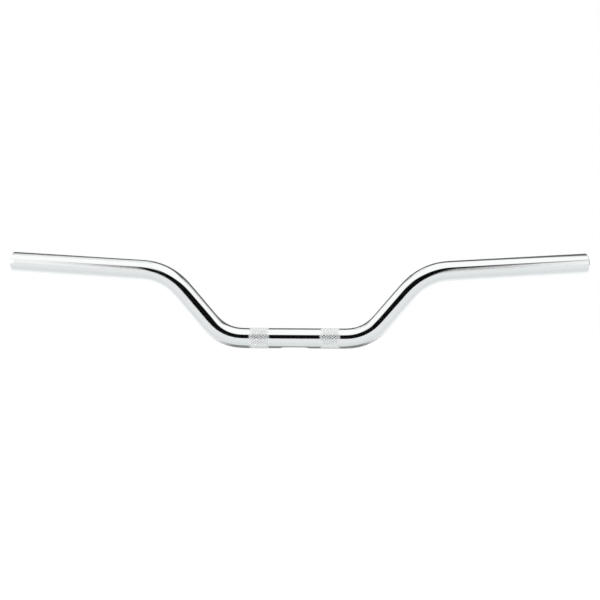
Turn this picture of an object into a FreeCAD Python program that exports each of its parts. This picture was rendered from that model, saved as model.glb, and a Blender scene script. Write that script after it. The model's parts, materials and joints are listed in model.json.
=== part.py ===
import FreeCAD, Part
import math
import os

# Motorcycle handlebar: one steel tube, bent twice on each side and plated all over.
# The origin is on the tube's axis, midway between the two riser clamps.
# +X runs to the rider's left, the clutch side, +Y back towards the rider and +Z up.

# Tube section
tube_diameter = 25.4
wall_thickness = 3.05

# Straight stretch in the middle, held at two knurled bands by the riser clamps
clamp_spacing = 88.9
knurl_length = 26.0
knurl_height = 0.2
clamp_run_out = 7.95

# Diamond knurl between the plain edges of each band
knurl_pitch = 2.5
knurl_angle = 30.0
knurl_depth = 0.45
knurl_edge = 1.0
knurl_backing = 0.3

# Bends and arms, the same on both sides; angles in degrees
lower_bend_radius = 54.0
arm_rise_angle = 49.3
arm_straight = 54.7
upper_bend_radius = 70.0
grip_up_angle = 3.5
grip_sweep_angle = 12.0

# Straight stretch on each side that carries a grip and its controls
grip_straight = 181.0

# Edges of the two open ends
rim_chamfer = 1.2
bore_chamfer = 0.5

# Slot under the middle, where the wires inside the tube come out
slot_length = 36.0
slot_width = 11.0

# Notch across the throttle end, which keys the throttle sensor
notch_width = 5.3
notch_depth = 6.0

tube_radius = tube_diameter / 2
bore_radius = tube_radius - wall_thickness
knurl_radius = tube_radius + knurl_height
knurl_span = knurl_length - 2 * knurl_edge
knurl_floor = knurl_radius - knurl_depth - knurl_backing
clamp_half_length = clamp_spacing / 2 + knurl_length / 2 + clamp_run_out
clutch_side = 1
throttle_side = -1
up = FreeCAD.Vector(0, 0, 1)
same_place = 1e-6


def arm_heading(side):
    rise = math.radians(arm_rise_angle)
    return FreeCAD.Vector(side * math.cos(rise), 0, math.sin(rise))


def grip_heading(side):
    lift = math.radians(grip_up_angle)
    sweep = math.radians(grip_sweep_angle)
    level = math.cos(lift)
    return FreeCAD.Vector(side * level * math.cos(sweep), level * math.sin(sweep), math.sin(lift))


def bend_points(start, before, after, radius):
    # Start, middle and end of the arc that turns the axis from one heading to the next
    inward = after - before * before.dot(after)
    inward.normalize()
    turn = before.getAngle(after)
    points = []
    for angle in (0, turn / 2, turn):
        along = before * (radius * math.sin(angle))
        points.append(start + along + inward * (radius * (1 - math.cos(angle))))
    return points


def side_axis(side):
    # Axis of one side from the clamped stretch outwards: bend, arm, bend, grip
    level = FreeCAD.Vector(side, 0, 0)
    arm = arm_heading(side)
    grip = grip_heading(side)
    lower_bend = bend_points(level * clamp_half_length, level, arm, lower_bend_radius)
    arm_end = lower_bend[-1] + arm * arm_straight
    upper_bend = bend_points(arm_end, arm, grip, upper_bend_radius)
    grip_end = upper_bend[-1] + grip * grip_straight
    edges = [
        Part.Arc(*lower_bend).toShape(),
        Part.LineSegment(lower_bend[-1], arm_end).toShape(),
        Part.Arc(*upper_bend).toShape(),
        Part.LineSegment(upper_bend[-1], grip_end).toShape(),
    ]
    return edges, grip_end


def swept_round(axis, end, heading, radius):
    section = Part.Wire(Part.makeCircle(radius, end, heading))
    return axis.makePipeShell([section], True, True)


def rims(shape, centres, radius):
    # Round edges of the given radius about the given points
    found = []
    for edge in shape.Edges:
        if isinstance(edge.Curve, Part.Circle) and math.isclose(edge.Curve.Radius, radius):
            if any(edge.Curve.Center.isEqual(centre, same_place) for centre in centres):
                found.append(edge)
    return found


def knurl_band(middle):
    # Crest of one clamp band, which the knurling rolls raise a little above the tube
    half = FreeCAD.Vector(knurl_length / 2, 0, 0)
    band = Part.makeCylinder(knurl_radius, knurl_length, middle - half, half)
    return band.makeChamfer(knurl_height, rims(band, (middle - half, middle + half), knurl_radius))


def knurl_disc(radius, middle):
    half = FreeCAD.Vector(knurl_span / 2, 0, 0)
    return Part.makeCylinder(radius, knurl_span, middle - half, half)


def knurl_room(middle):
    # Groove that the diamonds of one band fill
    return knurl_disc(knurl_radius + knurl_height, middle).cut(knurl_disc(knurl_floor, middle))


def knurl_ring():
    # Ring of diamonds about the X axis. Crests and valleys alternate round the tube and along it,
    # so each square of four points is folded along the line between its two valleys.
    columns = 2 * round(math.pi * tube_diameter / knurl_pitch)
    diamond_length = knurl_pitch / math.tan(math.radians(knurl_angle))
    rows = round(2 * knurl_span / diamond_length)

    def is_crest(column, row):
        return (column + row) % 2 == 1 and 0 < row < rows

    def point(column, row):
        radius = knurl_radius if is_crest(column, row) else knurl_radius - knurl_depth
        turn = 2 * math.pi * column / columns
        along = knurl_span * (row / rows - 1 / 2)
        return FreeCAD.Vector(along, radius * math.cos(turn), radius * math.sin(turn))

    def facet(*places):
        return Part.Face(Part.makePolygon([point(*place) for place in places + places[:1]]))

    faces = [
        facet(*[(column, row) for column in range(columns)])
        for row in (0, rows)
    ]
    for row in range(rows):
        for column in range(columns):
            near, far = (column, row), (column + 1, row + 1)
            left, right = (column, row + 1), (column + 1, row)
            if (column + row) % 2 == 1:
                faces += [facet(left, right, near), facet(left, right, far)]
            else:
                faces += [facet(near, far, left), facet(near, far, right)]
    shell = Part.makeShell(faces)
    shell.sewShape()
    return Part.makeSolid(shell).cut(knurl_disc(knurl_floor, FreeCAD.Vector()))


def obround(length, width, height):
    # Plate with round ends, centred on the origin and standing on the XY plane
    half_straight = (length - width) / 2
    radius = width / 2
    corners = [
        FreeCAD.Vector(-half_straight, -radius, 0),
        FreeCAD.Vector(half_straight, -radius, 0),
        FreeCAD.Vector(half_straight, radius, 0),
        FreeCAD.Vector(-half_straight, radius, 0),
    ]
    nose = FreeCAD.Vector(half_straight + radius, 0, 0)
    edges = [
        Part.LineSegment(corners[0], corners[1]).toShape(),
        Part.Arc(corners[1], nose, corners[2]).toShape(),
        Part.LineSegment(corners[2], corners[3]).toShape(),
        Part.Arc(corners[3], nose * -1, corners[0]).toShape(),
    ]
    return Part.Face(Part.Wire(edges)).extrude(up * height)


def wiring_slot():
    cutter = obround(slot_length, slot_width, tube_radius)
    cutter.translate(up * -tube_radius)
    return cutter


def sensor_notch(end, heading):
    # Round-bottomed notch through the front and back walls, open at the tube's end
    cutter = obround(2 * notch_depth, notch_width, tube_diameter)
    cutter.translate(up * -tube_radius)
    across = heading.cross(up)
    facing = FreeCAD.Rotation(heading, up, across, "XZY")
    cutter.Placement = FreeCAD.Placement(end, facing) * cutter.Placement
    return cutter


clutch_edges, clutch_end = side_axis(clutch_side)
throttle_edges, throttle_end = side_axis(throttle_side)
middle = Part.LineSegment(
    FreeCAD.Vector(-clamp_half_length, 0, 0),
    FreeCAD.Vector(clamp_half_length, 0, 0),
).toShape()
axis = Part.Wire(Part.sortEdges(throttle_edges + [middle] + clutch_edges)[0])

clutch_heading = grip_heading(clutch_side)
throttle_heading = grip_heading(throttle_side)
outside = swept_round(axis, throttle_end, throttle_heading, tube_radius)
inside = swept_round(axis, throttle_end, throttle_heading, bore_radius)
band_middles = [FreeCAD.Vector(side * clamp_spacing / 2, 0, 0) for side in (clutch_side, throttle_side)]
outside = outside.fuse([knurl_band(middle) for middle in band_middles])
tube = outside.cut(inside)
ends = (clutch_end, throttle_end)
tube = tube.makeChamfer(rim_chamfer, rims(tube, ends, tube_radius))
tube = tube.makeChamfer(bore_chamfer, rims(tube, ends, bore_radius))
tube = tube.cut(wiring_slot())
tube = tube.cut(sensor_notch(throttle_end, throttle_heading))

ring = knurl_ring()
tube = tube.cut([knurl_room(middle) for middle in band_middles])
tube = tube.fuse([ring.translated(middle) for middle in band_middles]).Solids[0]

section_area = math.pi * (tube_radius**2 - bore_radius**2)
print("valid", tube.isValid(), "solids", len(tube.Solids))
print("volume", tube.Volume, "section times length", section_area * axis.Length)
print("clutch end", clutch_end, "throttle end", throttle_end, "length", axis.Length)

os.makedirs("parts", exist_ok=True)
tube.exportStep("parts/handlebar_tube.step")
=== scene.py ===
import json
import math
from functools import lru_cache

import bmesh
import bpy
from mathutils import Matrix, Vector


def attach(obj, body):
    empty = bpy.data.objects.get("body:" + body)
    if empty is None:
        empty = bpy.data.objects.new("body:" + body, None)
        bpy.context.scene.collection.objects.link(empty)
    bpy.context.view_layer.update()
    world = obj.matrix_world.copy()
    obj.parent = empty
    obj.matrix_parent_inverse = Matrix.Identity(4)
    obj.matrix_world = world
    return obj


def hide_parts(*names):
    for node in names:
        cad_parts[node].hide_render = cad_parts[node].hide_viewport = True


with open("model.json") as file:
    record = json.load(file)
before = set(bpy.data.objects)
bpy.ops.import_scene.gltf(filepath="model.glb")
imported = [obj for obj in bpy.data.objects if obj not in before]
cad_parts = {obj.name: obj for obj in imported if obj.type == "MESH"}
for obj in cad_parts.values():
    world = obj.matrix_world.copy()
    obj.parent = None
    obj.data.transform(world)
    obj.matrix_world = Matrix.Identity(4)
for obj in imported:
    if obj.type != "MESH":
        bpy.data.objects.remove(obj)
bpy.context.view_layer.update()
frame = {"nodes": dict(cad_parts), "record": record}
mounts = {mount["name"]: mount for mount in frame["record"]["mounts"]}
print("frame loaded, nodes:", sorted(frame["nodes"]))


def mountRadius(name):  # in metres
    return mounts[name]["dims"]["r_mm"] / 1000


def spaced(first, last, step):  # even values from first to last, about a step apart
    count = max(1, round(abs(last - first) / step))
    return [first + (last - first) * k / count for k in range(count + 1)]


def quarterTurns(count):  # from a quarter turn on one side to a quarter turn on the other
    return [math.pi / 2 - math.pi * k / count for k in range(count + 1)]


def roundCorner(start, corner, end, t):  # a place on the curve that rounds a corner, t from 0 to 1
    return start * (1 - t) ** 2 + corner * 2 * t * (1 - t) + end * t ** 2


# Axis of the bar, in metres: clamped stretch, bend, arm, bend, grip
axis = {
    "clampHalf": 0.0654,
    "lowerBend": 0.054,
    "armRise": math.radians(49.3),
    "armStraight": 0.0547,
    "upperBend": 0.07,
    "gripUp": math.radians(3.5),
    "gripSweep": math.radians(12.0),
    "gripStraight": 0.181,
    "ease": 0.008,  # over which a bend comes in
    "easeSteps": 8,
}


@lru_cache(maxsize=None)
def headings(side):  # outward directions of the clamped stretch, the arm and the grip
    lift = math.cos(axis["gripUp"])
    arm = Vector((side * math.cos(axis["armRise"]), 0, math.sin(axis["armRise"])))
    grip = Vector((side * lift * math.cos(axis["gripSweep"]), lift * math.sin(axis["gripSweep"]),
                   math.sin(axis["gripUp"])))
    return Vector((side, 0, 0)), arm, grip


@lru_cache(maxsize=None)
def axisAt(along):  # point and direction of the axis, measured along it from the middle
    side = math.copysign(1, along)
    level, arm, grip = headings(side)
    point, remaining = Vector(), abs(along)
    for straight, before, after, radius in (
        (axis["clampHalf"], level, arm, axis["lowerBend"]),
        (axis["armStraight"], arm, grip, axis["upperBend"]),
    ):
        if remaining <= straight:
            return point + before * remaining, before * side
        point = point + before * straight
        remaining -= straight
        inward = (after - before * before.dot(after)).normalized()
        turn = min(remaining / radius, before.angle(after))
        point = point + before * radius * math.sin(turn) + inward * radius * (1 - math.cos(turn))
        remaining -= turn * radius
        if turn < before.angle(after):
            return point, (before * math.cos(turn) + inward * math.sin(turn)) * side
    return point + grip * remaining, grip * side


@lru_cache(maxsize=None)
def sectionAt(along):  # middle, direction, top and front of the tube's section
    steps = axis["easeSteps"]
    near = [axisAt(along + axis["ease"] * k / steps) for k in range(-steps, steps + 1)]
    middle = sum((point for point, ahead in near), Vector()) / len(near)
    ahead = sum((ahead for point, ahead in near), Vector()).normalized()
    top = (Vector((0, 0, 1)) - ahead * ahead.z).normalized()
    return middle, ahead, top, ahead.cross(top)


def sideLength():
    level, arm, outward = headings(1)
    bends = axis["lowerBend"] * level.angle(arm) + axis["upperBend"] * arm.angle(outward)
    return axis["clampHalf"] + axis["armStraight"] + bends + axis["gripStraight"]


# Tube wall, its ends, and how finely it is divided
wall = {
    "radius": mountRadius("clutch_grip"),
    "bore": mountRadius("clutch_end_bore"),
    "rimChamfer": 0.0012,
    "boreChamfer": 0.0005,
    "rimRound": 0.0003,  # rounding of the chamfers' corners
    "roundSteps": 4,
    "outerStep": 0.0025,
    "boreStep": 0.005,
    "clear": 0.002,  # plain stretch beside a cut or an end
    "sharp": math.radians(24.0),  # edges that turn by more are drawn sharp
}
wall["clutchEnd"] = sideLength()
wall["throttleEnd"] = -sideLength()

# Knurled bands under the riser clamps
band = {
    "radius": mountRadius("riser_clamp"),
    "middle": 0.0889 / 2,
    "length": 0.026,
    "edge": 0.001,
    "pitch": 0.0025,
    "angle": math.radians(30.0),
    "depth": 0.00045,
    "flat": 0.52,  # share of a diamond that the worn top takes
    "runOut": 0.0005,
}

# Cuts through the wall: half width and straight half length, and the rounding of their edges
cuts = {
    "slot": {"half": 0.0055, "straight": 0.0125},
    "notch": {"half": 0.00265, "straight": 0.00335},
    "edge": 0.0003,
}

# Sides of the tube that a cut opens: where it faces, the lines along the tube across it,
# and how many lie on the plain stretch before it
openings = {
    "front": {
        "cut": cuts["notch"], "facing": math.pi / 2, "turns": quarterTurns(10), "plainBefore": 22,
    },
    "under": {
        "cut": cuts["slot"], "facing": math.pi, "turns": quarterTurns(16), "plainBefore": 14,
    },
    "back": {
        "cut": cuts["notch"], "facing": math.pi * 3 / 2, "turns": quarterTurns(10), "plainBefore": 14,
    },
}
plainTop = 22  # lines along the plain stretch from the last opening up to the top
lineCount = 0
for opening in openings.values():
    lineCount += opening["plainBefore"]
    opening["first"] = lineCount
    lineCount += len(opening["turns"]) - 1
    opening["last"] = lineCount
lineCount += plainTop


def openingAngle(opening, turn, radius, half):
    return opening["facing"] - math.asin(half * math.sin(turn) / radius)


@lru_cache(maxsize=None)
def lineAngles(radius):  # angle of each line along the tube, from the top round by the front
    angles, last = [], 0.0
    for opening in openings.values():
        half = opening["cut"]["half"] + cuts["edge"]
        across = [openingAngle(opening, turn, radius, half) for turn in opening["turns"]]
        plain = opening["plainBefore"]
        angles += [last + (across[0] - last) * k / plain for k in range(plain)]
        angles += across[:-1]
        last = across[-1]
    return angles + [last + (2 * math.pi - last) * k / plainTop for k in range(plainTop)]


def lineOpening(line):  # the opening that a line crosses, and where across it
    for name, opening in openings.items():
        if opening["first"] <= line <= opening["last"]:
            return name, opening["turns"][line - opening["first"]]
    return None, 0.0


# The tube is made straight, as (along, up, front), and bent at the end
straightPoints, straightNormals, faces, faceFinish = [], [], [], []
finishes = ["chromePlate", "knurledPlate", "boreSteel"]


def tubePoint(along, radius, angle):
    return Vector((along, radius * math.cos(angle), radius * math.sin(angle)))


def addPoint(place, normal=None):
    straightPoints.append(place)
    straightNormals.append(normal)
    return len(straightPoints) - 1


def addFace(finish, *corners):
    faces.append(corners)
    faceFinish.append(finishes.index(finish))


# A row is one ring of the wall's skin; inward points into the metal, as (along, radial)
def ring(along, radius, inward, finish, cut=None, reach=0):
    return {"along": along, "radius": radius, "inward": inward, "finish": finish, "cut": cut,
            "reach": reach, "points": {}}


def rimProfile():  # chamfered and rounded edge of an end, from outside to bore, as (depth, radius)
    outer, inner = wall["rimChamfer"], wall["boreChamfer"]
    corners = [
        Vector((2 * outer, wall["radius"])),
        Vector((outer, wall["radius"])),
        Vector((0, wall["radius"] - outer)),
        Vector((0, wall["bore"] + inner)),
        Vector((inner, wall["bore"])),
        Vector((2 * inner + wall["rimRound"], wall["bore"])),
    ]
    profile = []
    for before, corner, after in zip(corners, corners[1:], corners[2:]):
        start = corner + (before - corner).normalized() * wall["rimRound"]
        end = corner + (after - corner).normalized() * wall["rimRound"]
        for k in range(wall["roundSteps"] + 1):
            t = k / wall["roundSteps"]
            place = roundCorner(start, corner, end, t)
            along = ((corner - start) * (1 - t) + (end - corner) * t).normalized()
            profile.append((place, Vector((-along.y, along.x))))
    return profile


def rimRings(end, cut=None):
    inside = -math.copysign(1, end)
    rings = []
    for place, normal in rimProfile():
        inward = (normal.x * inside, normal.y)
        rings.append(ring(end + inside * place.x, place.y, inward, "chromePlate", cut))
    return rings


def slotRings(radius, inward, finish):
    straight = cuts["slot"]["straight"]
    rings = [ring(along, radius, inward, finish, "slot")
             for along in spaced(-straight, straight, wall["boreStep"])]
    rings[0]["reach"], rings[-1]["reach"] = -1, 1
    return rings


def plainRings(first, last, radius, inward, finish, step):
    return [ring(along, radius, inward, finish) for along in spaced(first, last, step)]


def bandRings(side):  # plain edges of a knurled band, from its lower to its higher end along the tube
    half, rise = band["length"] / 2, band["radius"] - wall["radius"]
    edges = [
        (-half, wall["radius"]),
        (rise - half, band["radius"]),
        (band["edge"] - half, band["radius"]),
    ]
    edges += [(-offset, radius) for offset, radius in reversed(edges)]
    rings = [ring(side * band["middle"] + offset, radius, (0, -1), "knurledPlate")
             for offset, radius in edges]
    rings[2]["knurled"] = True  # diamonds lie between this ring and the next
    for edge in (rings[0], rings[1], rings[4], rings[5]):
        edge["creased"] = True
    return rings


def skinRings():  # outside from throttle to clutch end, round the rim, back through the bore
    throttle, clutch = wall["throttleEnd"], wall["clutchEnd"]
    slotReach, notchReach = (
        cut["straight"] + cut["half"] + cuts["edge"] + wall["clear"]
        for cut in (cuts["slot"], cuts["notch"])
    )
    clutchReach = 2 * wall["rimChamfer"] + wall["clear"]
    bandNear, bandFar = band["middle"] - band["length"] / 2, band["middle"] + band["length"] / 2
    outside = (wall["radius"], (0, -1), "chromePlate")
    inside = (wall["bore"], (0, 1), "boreSteel")
    fine, coarse = wall["outerStep"], wall["boreStep"]
    gap = wall["clear"]
    rings = [ring(throttle + cuts["notch"]["straight"], *outside, "notch", 1)]
    rings += plainRings(throttle + notchReach, -bandFar - gap, *outside, fine)
    rings += bandRings(-1)
    rings += plainRings(-bandNear + gap, -slotReach, *outside, fine)
    rings += slotRings(*outside)
    rings += plainRings(slotReach, bandNear - gap, *outside, fine)
    rings += bandRings(1)
    rings += plainRings(bandFar + gap, clutch - clutchReach, *outside, fine)
    rings += rimRings(clutch)
    boreRings = [ring(throttle + cuts["notch"]["straight"], *inside, "notch", 1)]
    boreRings += plainRings(throttle + notchReach, -slotReach, *inside, coarse)
    boreRings += slotRings(*inside)
    boreRings += plainRings(slotReach, clutch - clutchReach, *inside, coarse)
    return rings + boreRings[::-1] + rimRings(throttle, "notch")[::-1]


def cutPoint(row, name, turn, half, inset):  # a place on a cut's outline, as (along, radius, angle)
    opening = openings[name]
    radius = row["radius"] + row["inward"][1] * inset
    along = row["along"] + row["reach"] * half * math.cos(turn) + row["inward"][0] * inset
    return along, radius, openingAngle(opening, turn, radius, half)


def skinPoint(row, line):
    if line % lineCount not in row["points"]:
        line %= lineCount
        name, turn = lineOpening(line)
        along, angle = row["along"], lineAngles(row["radius"])[line]
        if row["reach"] and name and (row["cut"] == "slot") == (name == "under"):
            half = openings[name]["cut"]["half"] + cuts["edge"]
            along += row["reach"] * half * math.cos(turn)
        out = -row["inward"][1]
        normal = Vector((-row["inward"][0], out * math.cos(angle), out * math.sin(angle)))
        if row.get("creased"):
            normal = None
        row["points"][line] = addPoint(tubePoint(along, row["radius"], angle), normal)
    return row["points"][line % lineCount]


def isOpen(low, high, line):  # true where a cut takes the skin away between two rings
    if not low["cut"] or low["cut"] != high["cut"]:
        return False
    names = ("under",) if low["cut"] == "slot" else ("front", "back")
    return any(openings[name]["first"] <= line < openings[name]["last"] for name in names)


def buildSkin(rings):
    for low, high in zip(rings, rings[1:] + rings[:1]):
        if low.get("knurled"):
            continue
        finish = low["finish"] if low["finish"] == high["finish"] else "chromePlate"
        for line in range(lineCount):
            if not isOpen(low, high, line):
                addFace(finish, skinPoint(low, line), skinPoint(low, line + 1),
                        skinPoint(high, line + 1), skinPoint(high, line))


# Cuts: a rounded edge in from the skin, then the wall of the cut
edgePoints = {}


def cutEdgePoints(row, line, name):  # from the skin over the rounded edge to the cut's wall
    key = (id(row), line, name)
    if key not in edgePoints:
        turn = openings[name]["turns"][line - openings[name]["first"]]
        half = openings[name]["cut"]["half"]
        edge, steps = cuts["edge"], wall["roundSteps"]
        corners = [tubePoint(*cutPoint(row, name, turn, width, inset))
                   for width, inset in ((half + edge, 0), (half, 0), (half, edge))]
        chain = [skinPoint(row, line)]
        for k in range(1, steps + 1):
            chain.append(addPoint(roundCorner(*corners, k / steps)))
        edgePoints[key] = chain
    return edgePoints[key]


def roundEdge(outline, name):  # faces of the rounded edge round a closed outline of (ring, line) places
    for here, there in zip(outline, outline[1:] + outline[:1]):
        a, b = cutEdgePoints(*here, name), cutEdgePoints(*there, name)
        for k in range(wall["roundSteps"]):
            addFace("chromePlate", a[k], b[k], b[k + 1], a[k + 1])


def joinWalls(outer, inner, name, closed):  # the cut's wall, from the outside's places to the bore's
    pairs = list(zip(outer, inner))
    following = pairs[1:] + pairs[:1] if closed else pairs[1:]
    for (a, b), (c, d) in zip(pairs, following):
        corners = [cutEdgePoints(*place, name)[-1] for place in (a, c, d, b)]
        addFace("chromePlate", *corners)


def slotOutline(rows):
    first, last = openings["under"]["first"], openings["under"]["last"]
    outline = [(rows[-1], line) for line in range(first, last + 1)]
    outline += [(row, last) for row in reversed(rows[1:-1])]
    outline += [(rows[0], line) for line in range(last, first - 1, -1)]
    return outline + [(row, first) for row in rows[1:-1]]


def buildSlot(rings):
    rows = [row for row in rings if row["cut"] == "slot"]
    outer = slotOutline([row for row in rows if row["radius"] == wall["radius"]])
    inner = slotOutline([row for row in rows if row["radius"] == wall["bore"]][::-1])
    roundEdge(outer, "under")
    roundEdge(inner, "under")
    joinWalls(outer, inner, "under", True)


def buildNotch(rings, name):
    rows = [row for row in rings if row["cut"] == "notch"]
    outer, rim = rows[0], rows[2:]
    rows = [rows[1]] + rim + [outer]  # from the bore round the rim to the outside
    first, last = openings[name]["first"], openings[name]["last"]
    across = range(first, last + 1)
    outline = [(rows[-1], line) for line in across] + [(row, last) for row in rows[-2:0:-1]]
    outline += [(rows[0], line) for line in reversed(across)] + [(row, first) for row in rows[1:-1]]
    roundEdge(outline, name)
    half = len(rows) // 2
    nearOuter = [(row, first) for row in rows[half:-1]] + [(rows[-1], line) for line in across]
    nearInner = [(row, first) for row in rows[half - 1:0:-1]] + [(rows[0], line) for line in across]
    nearOuter += [(row, last) for row in rows[-2:half - 1:-1]]
    nearInner += [(row, last) for row in rows[1:half]]
    joinWalls(nearOuter, nearInner, name, False)


# Diamond knurl: crests and valleys alternate round the band and along it
def buildKnurl(low, high):
    span = band["length"] - 2 * band["edge"]
    columns = 2 * round(2 * math.pi * wall["radius"] / band["pitch"])
    rows = round(2 * span * math.tan(band["angle"]) / band["pitch"])
    first, last = low["along"] + band["runOut"], high["along"] - band["runOut"]
    valleys = {}

    def place(column, row, radius):
        along, angle = first + (last - first) * row / rows, 2 * math.pi * column / columns
        return addPoint(tubePoint(along, radius, angle))

    def valley(column, row):
        key = (column % columns, row)
        if key not in valleys:
            valleys[key] = place(column, row, band["radius"] - band["depth"])
        return valleys[key]

    def diamond(column, row):
        steps, flat = ((1, 0), (0, 1), (-1, 0), (0, -1)), band["flat"]
        base = [valley(column + c, row + r) for c, r in steps]
        top = [place(column + c * flat, row + r * flat, band["radius"]) for c, r in steps]
        addFace("knurledPlate", *top)
        for k in range(4):
            addFace("knurledPlate", base[k], base[k - 3], top[k - 3], top[k])

    for row in range(1, rows):
        for column in range(columns):
            if (column + row) % 2 == 1:
                diamond(column, row)
    for row, inner in ((0, 1), (rows, rows - 1)):
        for column in range(columns):
            if (column + row) % 2 == 1:
                addFace("knurledPlate", valley(column - 1, row), valley(column, row),
                        valley(column + 1, row), valley(column, inner))
    for edge, row in ((low, 0), (high, rows)):
        stitch(edge, [valley(column, row) for column in range(columns)])


def stitch(edge, knurlEnd):  # joins the band's plain edge to the knurl's last row
    edgeAngles, columns = lineAngles(edge["radius"]) + [2 * math.pi], len(knurlEnd)
    line, column = 0, 0
    while line < lineCount or column < columns:
        here, there = skinPoint(edge, line), knurlEnd[column % columns]
        nextTurn = 2 * math.pi * (column + 1) / columns
        if column == columns or (line < lineCount and edgeAngles[line + 1] <= nextTurn):
            line += 1
            addFace("knurledPlate", here, skinPoint(edge, line), there)
        else:
            column += 1
            addFace("knurledPlate", here, knurlEnd[column % columns], there)


def bentPoint(place):
    middle, ahead, top, front = sectionAt(place.x)
    return middle + top * place.y + front * place.z


def bentDirection(place, direction):
    middle, ahead, top, front = sectionAt(place.x)
    return (ahead * direction.x + top * direction.y + front * direction.z).normalized()


def buildBar():
    rings = skinRings()
    buildSkin(rings)
    for low, high in zip(rings, rings[1:]):
        if low.get("knurled"):
            buildKnurl(low, high)
    buildSlot(rings)
    buildNotch(rings, "front")
    buildNotch(rings, "back")
    mesh = bpy.data.meshes.new("handlebarTube")
    mesh.from_pydata([bentPoint(place) for place in straightPoints], [], faces)
    mesh.polygons.foreach_set("material_index", faceFinish)
    work = bmesh.new()
    work.from_mesh(mesh)
    bmesh.ops.recalc_face_normals(work, faces=work.faces)
    openEdges = [edge for edge in work.edges if not edge.is_manifold]
    work.to_mesh(mesh)
    work.free()
    print("bar:", len(mesh.vertices), "points,", len(mesh.polygons), "faces,",
          len(openEdges), "open edges")
    straight = mesh.attributes.new("straightened", "FLOAT_VECTOR", "POINT")  # place before bending
    straight.data.foreach_set("vector", [value for place in straightPoints for value in place])
    mesh.shade_smooth()
    mesh.set_sharp_from_angle(angle=wall["sharp"])
    normals = [bentDirection(place, normal) if normal else Vector()
               for place, normal in zip(straightPoints, straightNormals)]
    knurled = finishes.index("knurledPlate")
    loopNormals = [Vector()] * len(mesh.loops)
    for face in mesh.polygons:
        for loop in face.loop_indices:
            if face.material_index != knurled:
                loopNormals[loop] = normals[mesh.loops[loop].vertex_index]
    mesh.normals_split_custom_set(loopNormals)
    bar = bpy.data.objects.new("handlebarTube", mesh)
    bpy.context.scene.collection.objects.link(bar)
    return bar


def newMaterial(name):
    material = bpy.data.materials.new(name)
    material.use_nodes = True
    nodes = material.node_tree.nodes
    return material, nodes, material.node_tree.links, nodes["Principled BSDF"]


def newGroup(name, inputs, output):
    group = bpy.data.node_groups.new(name, "ShaderNodeTree")
    for given in inputs:
        group.interface.new_socket(given, in_out="INPUT", socket_type="NodeSocketFloat")
    group.interface.new_socket(output, in_out="OUTPUT", socket_type="NodeSocketFloat")
    entry, leave = group.nodes.new("NodeGroupInput"), group.nodes.new("NodeGroupOutput")
    return group, entry.outputs, leave.inputs[output]


def placeGroup(nodes, group, values):
    node = nodes.new("ShaderNodeGroup")
    node.node_tree = group
    for name, value in values.items():
        node.inputs[name].default_value = value
    return node.outputs[0]


def feed(links, socket, value):  # another node's output is linked, a plain value is set
    if isinstance(value, bpy.types.NodeSocket):
        links.new(value, socket)
    else:
        socket.default_value = value


def mathNode(nodes, links, operation, *values):
    node = nodes.new("ShaderNodeMath")
    node.operation = operation
    for socket, value in zip(node.inputs, values):
        feed(links, socket, value)
    return node.outputs["Value"]


def vectorNode(nodes, links, operation, *values):
    node = nodes.new("ShaderNodeVectorMath")
    node.operation = operation
    for socket, value in zip(node.inputs, values):
        feed(links, socket, value)
    return node.outputs["Value" if operation == "LENGTH" else "Vector"]


def splitVector(nodes, links, vector):
    node = nodes.new("ShaderNodeSeparateXYZ")
    links.new(vector, node.inputs["Vector"])
    return node.outputs


def mapRange(nodes, links, value, low, high, toLow=0, toHigh=1, shape="SMOOTHSTEP"):
    node = nodes.new("ShaderNodeMapRange")
    node.interpolation_type = shape
    names = ("Value", "From Min", "From Max", "To Min", "To Max")
    for name, given in zip(names, (value, low, high, toLow, toHigh)):
        feed(links, node.inputs[name], given)
    return node.outputs["Result"]


def mixColours(nodes, links, share, low, high):
    node = nodes.new("ShaderNodeMix")
    node.data_type = "RGBA"
    links.new(share, node.inputs["Factor"])
    for name, colour in (("A", low), ("B", high)):
        feed(links, node.inputs[name], (*colour, 1) if isinstance(colour, tuple) else colour)
    return node.outputs["Result"]


def bump(nodes, links, height, distance, strength):
    node = nodes.new("ShaderNodeBump")
    for name, value in (("Height", height), ("Distance", distance), ("Strength", strength)):
        feed(links, node.inputs[name], value)
    return node.outputs["Normal"]


def tubePlace(nodes):  # place on the tube before bending
    node = nodes.new("ShaderNodeAttribute")
    node.attribute_name = "straightened"
    return node.outputs["Vector"]


# Fine lines left by polishing or drawing, stretched along or round the tube
def makeToolMarks():
    group, given, marks = newGroup("toolMarks", ("Along Scale", "Around Scale", "Sharpness"), "Marks")
    nodes, links = group.nodes, group.links
    scale = nodes.new("ShaderNodeCombineXYZ")
    for way, name in (("X", "Along Scale"), ("Y", "Around Scale"), ("Z", "Around Scale")):
        links.new(given[name], scale.inputs[way])
    stretched = vectorNode(nodes, links, "MULTIPLY", tubePlace(nodes), scale.outputs["Vector"])
    noise = nodes.new("ShaderNodeTexNoise")
    noise.inputs["Scale"].default_value = 1.0
    noise.inputs["Detail"].default_value = 3.0
    links.new(stretched, noise.inputs["Vector"])
    links.new(given["Sharpness"], noise.inputs["Roughness"])
    links.new(noise.outputs["Fac"], marks)
    return group


# Broad cloudy variation of a finish, in the tube's own place
def makeMottle():
    group, given, cloud = newGroup("mottle", ("Scale",), "Mottle")
    nodes, links = group.nodes, group.links
    noise = nodes.new("ShaderNodeTexNoise")
    noise.inputs["Detail"].default_value = 2.0
    links.new(tubePlace(nodes), noise.inputs["Vector"])
    links.new(given["Scale"], noise.inputs["Scale"])
    links.new(noise.outputs["Fac"], cloud)
    return group


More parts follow.
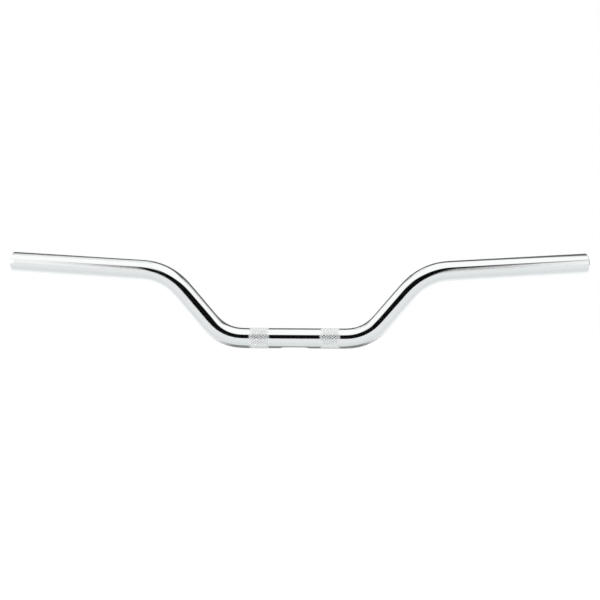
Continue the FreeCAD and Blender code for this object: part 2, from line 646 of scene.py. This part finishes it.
chrome = {
    "deep": (0.855, 0.868, 0.872),
    "pale": (0.885, 0.89, 0.89),
    "lines": {"Along Scale": 60.0, "Around Scale": 1500.0, "Sharpness": 0.6},
    "lineRange": (0.35, 0.7),  # strength of the lines over which the polish dulls
    "rough": (0.025, 0.055),
    "cloud": 25.0,
    "rippleHeight": 0.00006,
    "rippleStrength": 1.0,
}


def makeChrome(toolMarks, mottle):
    material, nodes, links, shader = newMaterial("chromePlate")
    shader.inputs["Metallic"].default_value = 1.0
    lines = placeGroup(nodes, toolMarks, chrome["lines"])
    cloud = placeGroup(nodes, mottle, {"Scale": chrome["cloud"]})
    tone = mixColours(nodes, links, cloud, chrome["deep"], chrome["pale"])
    links.new(tone, shader.inputs["Base Color"])
    polish = mapRange(nodes, links, lines, *chrome["lineRange"], *chrome["rough"])
    links.new(polish, shader.inputs["Roughness"])
    ripple = bump(nodes, links, cloud, chrome["rippleHeight"], chrome["rippleStrength"])
    links.new(ripple, shader.inputs["Normal"])
    return material


knurl = {
    # painted shade: the valleys are coloured darker than the crests
    "valley": (0.90, 0.91, 0.91),
    "crest": (0.94, 0.945, 0.945),
    "grain": {"Along Scale": 2500.0, "Around Scale": 2500.0, "Sharpness": 0.6},
    "grainRange": (0.3, 0.7),
    "rough": (0.34, 0.50),
    "worn": 0.5,  # share of that roughness left on the crests
    "wornFrom": 0.6,  # share of the diamonds' height above which they are worn
    "grainHeight": 0.00002,
    "grainStrength": 0.6,
}


def makeKnurled(toolMarks):
    material, nodes, links, shader = newMaterial("knurledPlate")
    shader.inputs["Metallic"].default_value = 1.0
    across = vectorNode(nodes, links, "MULTIPLY", tubePlace(nodes), (0, 1, 1))
    radius = vectorNode(nodes, links, "LENGTH", across)
    height = mapRange(nodes, links, radius, band["radius"] - band["depth"], band["radius"])
    # painted shade: colour darkens from the crests down into the valleys
    tone = mixColours(nodes, links, height, knurl["valley"], knurl["crest"])
    links.new(tone, shader.inputs["Base Color"])
    grain = placeGroup(nodes, toolMarks, knurl["grain"])
    satin = mapRange(nodes, links, grain, *knurl["grainRange"], *knurl["rough"])
    wear = mapRange(nodes, links, height, knurl["wornFrom"], 1, 1, knurl["worn"])
    rough = mathNode(nodes, links, "MULTIPLY", satin, wear)
    links.new(rough, shader.inputs["Roughness"])
    pits = bump(nodes, links, grain, knurl["grainHeight"], knurl["grainStrength"])
    links.new(pits, shader.inputs["Normal"])
    return material


bore = {
    "dark": (0.20, 0.19, 0.18),
    "light": (0.40, 0.39, 0.37),
    "plated": (0.72, 0.73, 0.73),
    "platedDepth": 0.03,  # how far the plating reaches into the mouth
    "lines": {"Along Scale": 12.0, "Around Scale": 900.0, "Sharpness": 0.7},
    "lineRange": (0.3, 0.7),
    "rough": (0.32, 0.55),
    "cloud": 90.0,
    "lineHeight": 0.00005,
    "lineStrength": 0.5,
}


def makeBoreSteel(toolMarks, mottle):
    material, nodes, links, shader = newMaterial("boreSteel")
    shader.inputs["Metallic"].default_value = 1.0
    lines = placeGroup(nodes, toolMarks, bore["lines"])
    cloud = placeGroup(nodes, mottle, {"Scale": bore["cloud"]})
    steel = mixColours(nodes, links, cloud, bore["dark"], bore["light"])
    along = splitVector(nodes, links, tubePlace(nodes))["X"]
    mouths = [mapRange(nodes, links, along, end - math.copysign(bore["platedDepth"], end), end)
              for end in (wall["clutchEnd"], wall["throttleEnd"])]
    mouth = mathNode(nodes, links, "MAXIMUM", *mouths)
    tone = mixColours(nodes, links, mouth, steel, bore["plated"])
    links.new(tone, shader.inputs["Base Color"])
    drawn = mapRange(nodes, links, lines, *bore["lineRange"], *bore["rough"])
    links.new(drawn, shader.inputs["Roughness"])
    grooves = bump(nodes, links, lines, bore["lineHeight"], bore["lineStrength"])
    links.new(grooves, shader.inputs["Normal"])
    return material


bar = buildBar()
toolMarks, mottle = makeToolMarks(), makeMottle()
for material in (
    makeChrome(toolMarks, mottle),
    makeKnurled(toolMarks),
    makeBoreSteel(toolMarks, mottle),
):
    bar.data.materials.append(material)
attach(bar, "root")
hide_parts("handlebar_tube")
print("materials:", [material.name for material in bar.data.materials])


# Studio: pale floor with painted shade near the bar, and soft light all round
studio = {
    "floorHeight": -0.45,
    "floorSize": 16.0,
    "floorTint": (0.972, 1.0, 1.01),
    "paintedFloorShade": {-0.6: 0.836, -0.05: 0.765, 0.15: 0.80, 0.5: 0.97},  # painted shade, darkest just under the bar and mirrored by the plating, by how far back, in metres
    "toneReach": 1.0,  # all these places lie nearer than this
    "floorWhite": (0.97, 0.97, 0.97),
    "paintedShadeFade": (3.5, 7.5),  # how far from the bar the painted shade fades and the floor turns white
    "light": (1.0, 1.1),  # near the horizon and overhead
    "lightRise": (0.3, 0.65),  # share of the way up over which it turns brighter
}

# Painted reflections: these screens stand in for dark and pale parts of the studio, seen only in the
# plating
# Curved screens that only the plating mirrors. Each edge fades from clear to full:
# low and high in degrees of elevation, left and right as shares of the distance.
screenGrid = {"turn": 85, "turnStep": 5, "liftStep": 4}  # degrees
screens = {
    "frontLeft": {
        "shade": 0.004, "distance": 20.0, "facing": -1, "slant": 0.05,
        "low": (-9.0, 8.0), "high": (36.0, 26.0), "left": (-0.55, -0.475), "right": (0.15, 0.05),
    },
    "frontRight": {
        "shade": 0.004, "distance": 2.0, "facing": -1, "slant": 0.2,
        "low": (-6.0, -2.0), "high": (42.0, 36.0), "left": (-0.36, -0.06), "right": (0.545, 0.37),
    },
    "sideLeft": {
        "shade": 0.3, "distance": 21.0, "facing": -1, "slant": 0.0,
        "low": (-18.0, 24.0), "high": (26.0, 10.0), "left": (-0.6, -0.53), "right": (-0.38, -0.5),
    },
    "sideRight": {
        "shade": 0.45, "distance": 2.1, "facing": -1, "slant": 0.0,
        "low": (-18.0, 20.0), "high": (22.0, 7.0), "left": (0.36, 0.5), "right": (0.65, 0.53),
    },
    "back": {
        "shade": 0.13, "distance": 2.0, "facing": 1, "slant": -0.5,
        "low": (14.0, 26.0), "high": (68.0, 58.0), "left": (-1.05, -0.81), "right": (1.1, 0.8),
    },
    # pale screen, a painted reflection that lightens the back screen's band on the left grip
    "backLeft": {
        "shade": 0.98, "distance": 1.9, "facing": 1, "slant": 0.0,
        "low": (47.0, 61.0), "high": (86.0, 76.0), "left": (-0.58, -0.46), "right": (-0.12, -0.25),
    },
    "backRight": {
        "shade": 0.1, "distance": 1.95, "facing": 1, "slant": 0.0,
        "low": (-2.0, 3.0), "high": (20.0, 16.0), "left": (0.56, 0.62), "right": (0.97, 0.93),
    },
    # painted reflection of the shade under the bar
    "below": {
        "shade": 0.25, "distance": 0.35, "facing": 1, "slant": 0.0,
        "low": (-90.0, -70.0), "high": (-4.0, -14.0), "left": (-0.75, -0.4), "right": (0.75, 0.4),
    },
}


def makeWorld():
    world = bpy.data.worlds.new("studioLight")
    world.use_nodes = True
    bpy.context.scene.world = world
    nodes, links = world.node_tree.nodes, world.node_tree.links
    nodes.clear()
    direction = nodes.new("ShaderNodeTexCoord").outputs["Generated"]
    height = splitVector(nodes, links, direction)["Z"]
    sky = mapRange(nodes, links, height, *studio["lightRise"], *studio["light"])
    background = nodes.new("ShaderNodeBackground")
    background.inputs["Color"].default_value = (1, 1, 1, 1)
    links.new(sky, background.inputs["Strength"])
    output = nodes.new("ShaderNodeOutputWorld")
    links.new(background.outputs["Background"], output.inputs["Surface"])


def stageObject(name, points, patches):
    mesh = bpy.data.meshes.new(name)
    mesh.from_pydata(points, [], patches)
    item = bpy.data.objects.new(name, mesh)
    bpy.context.scene.collection.objects.link(item)
    material, nodes, links, shader = newMaterial(name)
    shader.inputs["Roughness"].default_value = 0.9
    shader.inputs["Specular IOR Level"].default_value = 0.0
    mesh.materials.append(material)
    return item, nodes, links, shader


def makeFloor():
    half, reach = studio["floorSize"] / 2, studio["toneReach"]
    corners = [(x * half, y * half, studio["floorHeight"])
               for x, y in ((-1, -1), (1, -1), (1, 1), (-1, 1))]
    nodes, links, shader = stageObject("paleFloor", corners, [(0, 1, 2, 3)])[1:]
    # painted shade: the floor's colour is darker near and under the bar and fades to white farther off
    place = nodes.new("ShaderNodeTexCoord").outputs["Object"]
    back = splitVector(nodes, links, place)["Y"]
    tone = nodes.new("ShaderNodeValToRGB")
    stops = tone.color_ramp.elements
    while len(stops) < len(studio["paintedFloorShade"]):
        stops.new(0.5)
    for stop, (distance, level) in zip(stops, studio["paintedFloorShade"].items()):
        stop.position = (distance + reach) / (2 * reach)
        stop.color = (*[level * tint for tint in studio["floorTint"]], 1)
    links.new(mapRange(nodes, links, back, -reach, reach, shape="LINEAR"), tone.inputs["Fac"])
    away = vectorNode(nodes, links, "LENGTH", place)
    fade = mapRange(nodes, links, away, *studio["paintedShadeFade"])
    shadedFloorColour = mixColours(nodes, links, fade, tone.outputs["Color"], studio["floorWhite"])
    links.new(shadedFloorColour, shader.inputs["Base Color"])
    side = nodes.new("ShaderNodeNewGeometry")  # clear when seen from below
    solid = mathNode(nodes, links, "SUBTRACT", 1, side.outputs["Backfacing"])
    links.new(solid, shader.inputs["Alpha"])


# Where a screen covers: a fade at each of its four edges, by direction from the middle of the bar
def makeCover():
    edges = ("Low", "High", "Left", "Right")
    limits = [f"{edge} {end}" for edge in edges for end in ("Clear", "Full")]
    group, given, cover = newGroup("screenCover", limits + ["Slant"], "Cover")
    nodes, links = group.nodes, group.links
    place = nodes.new("ShaderNodeTexCoord").outputs["Object"]
    outward = splitVector(nodes, links, vectorNode(nodes, links, "NORMALIZE", place))
    x, z = outward["X"], outward["Z"]
    lean = mathNode(nodes, links, "MULTIPLY", z, given["Slant"])
    left = mathNode(nodes, links, "ADD", x, lean)
    right = mathNode(nodes, links, "SUBTRACT", x, lean)
    share = 1.0
    for edge, source in zip(edges, (z, z, left, right)):
        fade = mapRange(nodes, links, source, given[f"{edge} Clear"], given[f"{edge} Full"])
        share = mathNode(nodes, links, "MULTIPLY", share, fade)
    links.new(share, cover)
    return group


def makeScreen(name, screen, screenCover):
    turns = spaced(-screenGrid["turn"], screenGrid["turn"], screenGrid["turnStep"])
    lifts = spaced(screen["low"][0], screen["high"][0], screenGrid["liftStep"])
    points = []
    for lift in map(math.radians, lifts):
        for turn in map(math.radians, turns):
            level = screen["distance"] * math.cos(lift)
            points.append((level * math.sin(turn), screen["facing"] * level * math.cos(turn),
                           screen["distance"] * math.sin(lift)))
    count = len(turns)
    patches = [(k, k + 1, k + count + 1, k + count)
               for k in range(count * (len(lifts) - 1)) if (k + 1) % count]
    item, nodes, links, shader = stageObject(name, points, patches)
    item.visible_camera = item.visible_diffuse = item.visible_shadow = False
    shader.inputs["Base Color"].default_value = (*[screen["shade"]] * 3, 1)
    values = {"Slant": screen["slant"]}
    for edge in ("low", "high", "left", "right"):
        for end, limit in zip(("Clear", "Full"), screen[edge]):
            share = math.sin(math.radians(limit)) if edge in ("low", "high") else limit
            values[f"{edge.title()} {end}"] = share
    links.new(placeGroup(nodes, screenCover, values), shader.inputs["Alpha"])


camera = {
    "place": (0.11288, -1.89665, 0.048),
    "turn": 3.216,  # degrees to the left of straight ahead
    "roll": 0.274,
    "lens": 90.86,
    "sensor": 36.0,
    "farthest": 100.0,
}


def makeCamera():
    data = bpy.data.cameras.new("camera")
    data.sensor_width = camera["sensor"]
    data.lens = camera["lens"]
    data.clip_end = camera["farthest"]
    eye = bpy.data.objects.new("camera", data)
    eye.location = camera["place"]
    eye.rotation_euler = (math.pi / 2, -math.radians(camera["roll"]), math.radians(camera["turn"]))
    bpy.context.scene.collection.objects.link(eye)
    bpy.context.scene.camera = eye


makeWorld()
makeFloor()
screenCover = makeCover()
for name, screen in screens.items():
    makeScreen(name, screen, screenCover)
makeCamera()
bpy.context.scene.view_settings.view_transform = "Standard"
print("studio ready")
